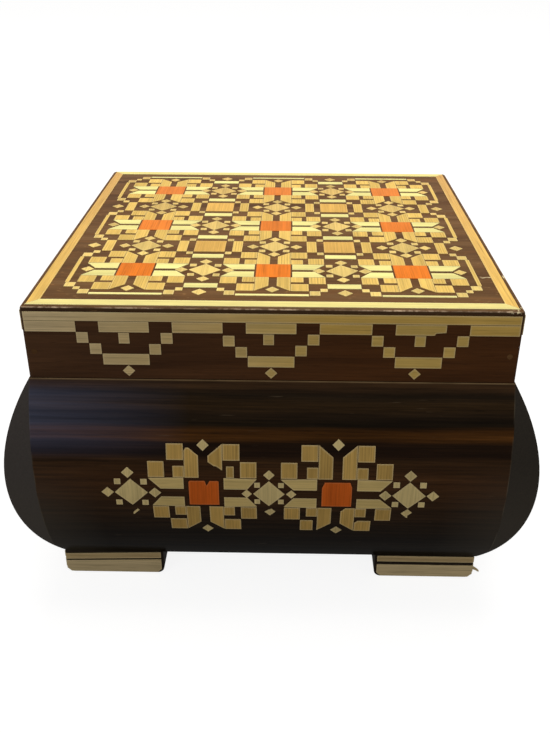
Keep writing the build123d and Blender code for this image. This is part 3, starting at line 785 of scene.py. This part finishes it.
# The left board's end grain is paler and greyer than the others': painted light from the left
GREY_ENDS = (62, 58, 56), (76, 71, 68)
BROWN_ENDS = (44, 40, 36), (58, 53, 46)

# The shift of the grain on each of the lid's rails, and what the case's boards have of their own
RAIL_SHIFTS = {"front": 0.0, "back": 0.7, "left": 1.3, "right": 2.1}
CASE_BOARDS = {
    # The front board carries the painted bluish reflection
    "front": {"ends": BROWN_ENDS, "blue_reflection": True},
    "back": {"ends": BROWN_ENDS, "shift": 1.7, "sway": 0.0088},
    # Painted light: the left board's end grain is paler and greyer
    "left": {"ends": GREY_ENDS, "shift": 2.9, "sway": 0.008},
    "right": {"ends": BROWN_ENDS, "shift": 4.3, "sway": 0.008},
}
ALONG_X = ("front", "back")


def dress_lid_wood():
    """The lid's panel, its rails and their pegs."""
    # The panel's own marks come with a painted reflection, and a painted highlight on its arris
    panel = wood_material("lid_top_wood", *PANEL_TONES, wear_and_light=panel_wear_and_sheen, coat=PANEL_COAT)
    dress(["lid_panel"], panel)
    for side, shift in RAIL_SHIFTS.items():
        # Each rail gets painted light: a tint, warmer and darker to the right
        own = {"along_x": side in ALONG_X, "shift": shift, "wear_and_light": rail_painted_light}
        dress(["lid_rail_" + side], wood_material(side + "_rail_wood", *RAIL_TONES, **own))
    dress(["lid_rail_pegs"], wood_material("peg_wood", *PEG_TONES, shift=3.0))


def dress_case_wood():
    """The case's walls, its bottom board and the feet."""
    for side, own in CASE_BOARDS.items():
        board = "case_" + side
        dress([board], case_material(board + "_wood", along_x=side in ALONG_X, **own))
    dress(["case_bottom"], wood_material("case_bottom_wood", *BOTTOM_TONES, shift=5.0))
    feet = ["foot_front_left", "foot_front_right", "foot_back_left", "foot_back_right"]
    dress(feet, wood_material("foot_wood", *FOOT_TONES, shift=6.0))


# How far from the middle of the box the stain has run over the side borders
STAIN_START = 0.0878


def top_straw():
    """The straw on the lid's top, by node."""
    # Where a straw on the top has another colour, it is painted light: darker and duller towards the
    # back, as the light falls off there
    return {
        "border_front_back": straw_material(
            "straw_border_long", (252, 238, 154), wall=False, grain_up=False,
            spread=0.02, lines=0.15, rim=(255, 246, 196),
        ),
        "border_sides": straw_material(
            "straw_border_side", (248, 204, 110), wall=False, grain_up=True,
            spread=0.03, lines=0.3, other=(226, 178, 108), change=TO_THE_BACK,
            rim=GOLDEN_RIM, stained=STAIN_START,
        ),
        "top_hearts": straw_material(
            "straw_orange_top", (247, 134, 40), wall=False, grain_up=True,
            spread=0.05, strips=0.05, other=(236, 140, 66), change=HEARTS_TO_THE_BACK,
            rim=(224, 128, 66),
        ),
        "top_pale_arms": straw_material(
            "straw_pale_top", (250, 240, 156), wall=False, grain_up=False,
            lines=0.15, rim=(255, 248, 196),
        ),
        "top_golden_arms": straw_material(
            "straw_golden_top", (240, 201, 109), wall=False, grain_up=True,
            splits=0.5, rim=GOLDEN_RIM,
        ),
        "top_tan_squares": straw_material(
            "straw_tan_top", (236, 187, 98), wall=False, grain_up=True,
            strips=0.04, splits=0.2, rim=(248, 214, 140),
        ),
        "top_medallions": straw_material(
            "straw_medallion_top", (246, 216, 130), wall=False, grain_up=True,
            spread=0.14, other=(226, 188, 112), change=TO_THE_BACK, rim=(252, 236, 176),
        ),
    }


def wall_straw():
    """The straw on the rails, the case and the feet, by node. Its colours are darker than the same
    straws' on the top: painted shade on the walls.
    """
    return {
        # The rails' other colour is painted light: cooler and paler to the left, warmer to the right
        "rail_strips": straw_material(
            "straw_rail_strips", (216, 194, 152), wall=True, grain_up=False,
            spread=0.03, other=(208, 172, 92),
        ),
        "rail_motifs": straw_material(
            "straw_rail_motifs", (212, 190, 148), wall=True, grain_up=False,
            spread=0.08, other=(206, 174, 98),
        ),
        "frieze_hearts": straw_material(
            "straw_orange_frieze", (206, 98, 34), wall=True, grain_up=True,
            spread=0.06, rim=(216, 124, 72),
        ),
        "frieze_pale_arms": straw_material(
            "straw_pale_frieze", (212, 186, 122), wall=True, grain_up=False, spread=0.08,
        ),
        "frieze_golden_arms": straw_material(
            "straw_golden_frieze", (196, 160, 90), wall=True, grain_up=True,
            lines=0.35, splits=0.45,
        ),
        "frieze_medallions": straw_material(
            "straw_medallion_frieze", (216, 194, 136), wall=True, grain_up=True, spread=0.14,
        ),
        # The feet's other colour, higher up, is painted shade under the overhanging case
        "foot_straw": straw_material(
            "straw_feet", (212, 190, 146), wall=True, grain_up=False,
            spread=0.06, lines=0.35, other=(192, 166, 120), change=UP_THE_FOOT,
        ),
    }


def dress_straw():
    """Every straw piece, by how its stalks run and by its colour."""
    for name, material in {**top_straw(), **wall_straw()}.items():
        dress([name], material)
        number_pieces(name)


def dress_brass():
    """The hinges."""
    dress(["case_hinge_leaves", "lid_hinge_leaves", "hinge_pins"], brass_material())


# Small pieces of the scene's own

def link(piece):
    """Puts an object into the scene."""
    bpy.context.scene.collection.objects.link(piece)


def finished_mesh(body, name):
    """A mesh from a bmesh, which is freed."""
    mesh = bpy.data.meshes.new(name)
    body.to_mesh(mesh)
    body.free()
    return mesh


def new_piece(name, mesh, material, body, place=(0, 0, 0), turn=0.0):
    """A piece of the scene's own, turned about Z at its place, which rides on a body."""
    mesh.materials.append(material)
    piece = bpy.data.objects.new(name, mesh)
    piece.location = place
    piece.rotation_euler.z = turn
    link(piece)
    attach(piece, body)
    return piece


# The hinges' screws: their heads' size and slot, how far each lies from the middle of its leaf and
# from the leaf's inner edge, and how far the slots are turned
SCREW_RADIUS = 0.0015
SCREW_TOP_RADIUS = SCREW_RADIUS * 0.93
SCREW_RISE = 0.00007
SCREW_SLOT = 0.00036
SCREW_STEPS = 14
SCREW_SPREAD = 0.007
SCREW_INSET = 0.003
HINGE_HALF_LENGTH = 0.012
SLOT_TURN_ALONG = 0.7
SLOT_TURN_SIDE = 0.4


def screw_mesh(up):
    """A flat screw head as two half discs with a bevelled rim, either side of a slot."""
    body = bmesh.new()
    start = asin(SCREW_SLOT / 2 / SCREW_RADIUS)
    for side in (0, pi):
        rim, top = [], []
        for step in range(SCREW_STEPS + 1):
            angle = side + start + (pi - 2 * start) * step / SCREW_STEPS
            x, y = cos(angle), sin(angle)
            rim.append(body.verts.new((SCREW_RADIUS * x, SCREW_RADIUS * y, 0)))
            top.append(body.verts.new((SCREW_TOP_RADIUS * x, SCREW_TOP_RADIUS * y, up * SCREW_RISE)))
        for first in range(SCREW_STEPS):
            second = first + 1
            body.faces.new((rim[first], rim[second], top[second], top[first]))
        body.faces.new((rim[-1], rim[0], top[0], top[-1]))
        body.faces.new(top)
    bmesh.ops.recalc_face_normals(body, faces=body.faces)
    return finished_mesh(body, "screw_head")


def make_screws(brass):
    """Two slotted screws in each leaf of each hinge, just proud of the leaf."""
    for body, node, up in (("case", "case_hinge_leaves", 1), ("lid", "lid_hinge_leaves", -1)):
        low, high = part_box(node)
        level = CASE_TOP if up > 0 else RAIL_LOW.z
        middle = (low.x + high.x) / 2
        hinge_place = (high.x - low.x) / 2 - HINGE_HALF_LENGTH
        for side in (-1, 1):
            for along in (-1, 1):
                name = "screw_%s_%d_%d" % (body, side + 1, along + 1)
                x = middle + side * hinge_place + along * SCREW_SPREAD
                place = (x, low.y + SCREW_INSET, level)
                turn = SLOT_TURN_ALONG * along + SLOT_TURN_SIDE * side
                piece = new_piece(name, screw_mesh(up), brass, body, place, turn)


# The loose sliver of straw: where it starts, near the foot's outer front edge, and where it runs to,
# how far its middle is lifted, its half width and half thickness at its start, how much narrower it
# is at its end, and its steps
SLIVER_START = Vector((FOOT_HIGH.x - 0.0006, FOOT_LOW.y - 0.00018, 0.0056))
SLIVER_RUN = Vector((0.0033, -0.0003, -0.0018))
SLIVER_LIFT = 0.0003
SLIVER_HALF_WIDTH = 0.00095
SLIVER_HALF_THICKNESS = 0.00012
SLIVER_TAPER = 0.5
SLIVER_STEPS = 5


def make_sliver(straw):
    """A split end of straw that has come loose from the outer end of the right front foot."""
    body = bmesh.new()
    rings = []
    thick = SLIVER_HALF_THICKNESS
    for step in range(SLIVER_STEPS + 1):
        share = step / SLIVER_STEPS
        lift = Vector((0, 0, SLIVER_LIFT * sin(pi * share)))
        middle = SLIVER_START + SLIVER_RUN * share + lift
        wide = SLIVER_HALF_WIDTH * (1 - SLIVER_TAPER * share)
        corners = ((thick, wide), (-thick, wide), (-thick, -wide), (thick, -wide))
        rings.append([body.verts.new(middle + Vector((0, y, z))) for y, z in corners])
    for ring, following in zip(rings, rings[1:]):
        for corner in range(4):
            after = (corner + 1) % 4
            body.faces.new((ring[corner], ring[after], following[after], following[corner]))
    body.faces.new(rings[0])
    body.faces.new(rings[-1])
    bmesh.ops.recalc_face_normals(body, faces=body.faces)
    mesh = finished_mesh(body, "loose_sliver")
    new_piece("loose_sliver", mesh, straw, "case")


# The floor, the world, the lights and the camera. The floor and the world look white to the camera
# and in reflections, and throw less light on the box than they would as they look.
FLOOR_HALF = 12.0
FLOOR_DROP = 0.0002
FLOOR_LIT = (0.24, 0.24, 0.24, 1)
FLOOR_GLOW = 0.88
FLOOR_THROWN = (0.30, 0.29, 0.27, 1)
AMBIENT_COLOUR = (1.0, 0.98, 0.95, 1)
AMBIENT_STRENGTH = 0.42
WHITE = (1, 1, 1, 1)
CLEAR_RAYS = ("Is Camera Ray", "Is Glossy Ray", "Is Transmission Ray")


def mix_by_ray(tree, output, thrown, shown):
    """Ends a tree with one shader for what the box receives, and another for what is seen."""
    path = add(tree, "LightPath").outputs
    seen = most(tree, *(path[ray] for ray in CLEAR_RAYS))
    inputs = {0: seen, 1: thrown.outputs[0], 2: shown.outputs[0]}
    chosen = add(tree, "MixShader", None, inputs)
    tree.links.new(chosen.outputs[0], add(tree, output).inputs["Surface"])


def floor_material():
    """A pale floor that keeps a soft shadow."""
    material = bpy.data.materials.new("pale_floor")
    material.use_nodes = True
    tree = material.node_tree
    tree.nodes.clear()
    lit = add(tree, "BsdfDiffuse", None, {"Color": FLOOR_LIT})
    glow = add(tree, "Emission", None, {"Color": WHITE, "Strength": FLOOR_GLOW})
    shown = add(tree, "AddShader", None, {0: lit.outputs[0], 1: glow.outputs[0]})
    thrown = add(tree, "BsdfDiffuse", None, {"Color": FLOOR_THROWN})
    mix_by_ray(tree, "OutputMaterial", thrown, shown)
    return material


def make_floor():
    """A wide flat floor just under the feet."""
    body = bmesh.new()
    bmesh.ops.create_grid(body, x_segments=4, y_segments=4, size=FLOOR_HALF)
    mesh = finished_mesh(body, "floor")
    mesh.materials.append(floor_material())
    floor = bpy.data.objects.new("floor", mesh)
    floor.location.z = -FLOOR_DROP
    link(floor)


def make_world():
    """An even pale surround."""
    world = bpy.data.worlds.new("studio")
    world.use_nodes = True
    bpy.context.scene.world = world
    tree = world.node_tree
    tree.nodes.clear()
    ambient = {"Color": AMBIENT_COLOUR, "Strength": AMBIENT_STRENGTH}
    thrown = add(tree, "Background", None, ambient)
    shown = add(tree, "Background", None, {"Color": WHITE, "Strength": 1.0})
    mix_by_ray(tree, "OutputWorld", thrown, shown)


def area_light(name, place, size, watts, colour):
    """A soft square lamp that looks at the middle of the lid's top."""
    data = bpy.data.lights.new(name, "AREA")
    data.shape = "SQUARE"
    data.size = size
    data.energy = watts
    data.color = colour
    lamp = bpy.data.objects.new(name, data)
    lamp.location = place
    aim = Vector((0, 0, LID_HIGH.z)) - Vector(place)
    lamp.rotation_euler = aim.to_track_quat("-Z", "Y").to_euler()
    link(lamp)


def make_lights():
    """A large overhead lamp a little behind the box, and a weak one from the front left."""
    area_light("overhead", (0.1, 0.5, 1.6), size=1.2, watts=19.0, colour=(1.0, 0.96, 0.88))
    area_light("front_left", (-1.2, -1.5, 1.0), size=0.8, watts=4.0, colour=(0.92, 0.96, 1.0))


def make_camera():
    """The photograph's camera."""
    ahead = cos(CAMERA_PITCH)
    forward = Vector((sin(CAMERA_YAW) * ahead, cos(CAMERA_YAW) * ahead, sin(CAMERA_PITCH)))
    level = Vector((cos(CAMERA_YAW), -sin(CAMERA_YAW), 0))
    down = forward.cross(level)
    right = cos(CAMERA_ROLL) * level + sin(CAMERA_ROLL) * down
    down = cos(CAMERA_ROLL) * down - sin(CAMERA_ROLL) * level
    turn = Matrix((right, -down, -forward)).transposed().to_4x4()
    data = bpy.data.cameras.new("camera")
    data.lens = CAMERA_LENS
    data.sensor_width = CAMERA_SENSOR
    data.clip_start = CAMERA_NEAREST
    camera = bpy.data.objects.new("camera", data)
    camera.matrix_world = Matrix.Translation(CAMERA_PLACE) @ turn
    link(camera)
    bpy.context.scene.camera = camera


dress_lid_wood()
dress_case_wood()
dress_straw()
dress_brass()
make_screws(bpy.data.materials["hinge_brass_aged"])
make_sliver(bpy.data.materials["straw_feet"])
make_floor()
make_world()
make_lights()
make_camera()
bpy.context.scene.view_settings.view_transform = "Standard"
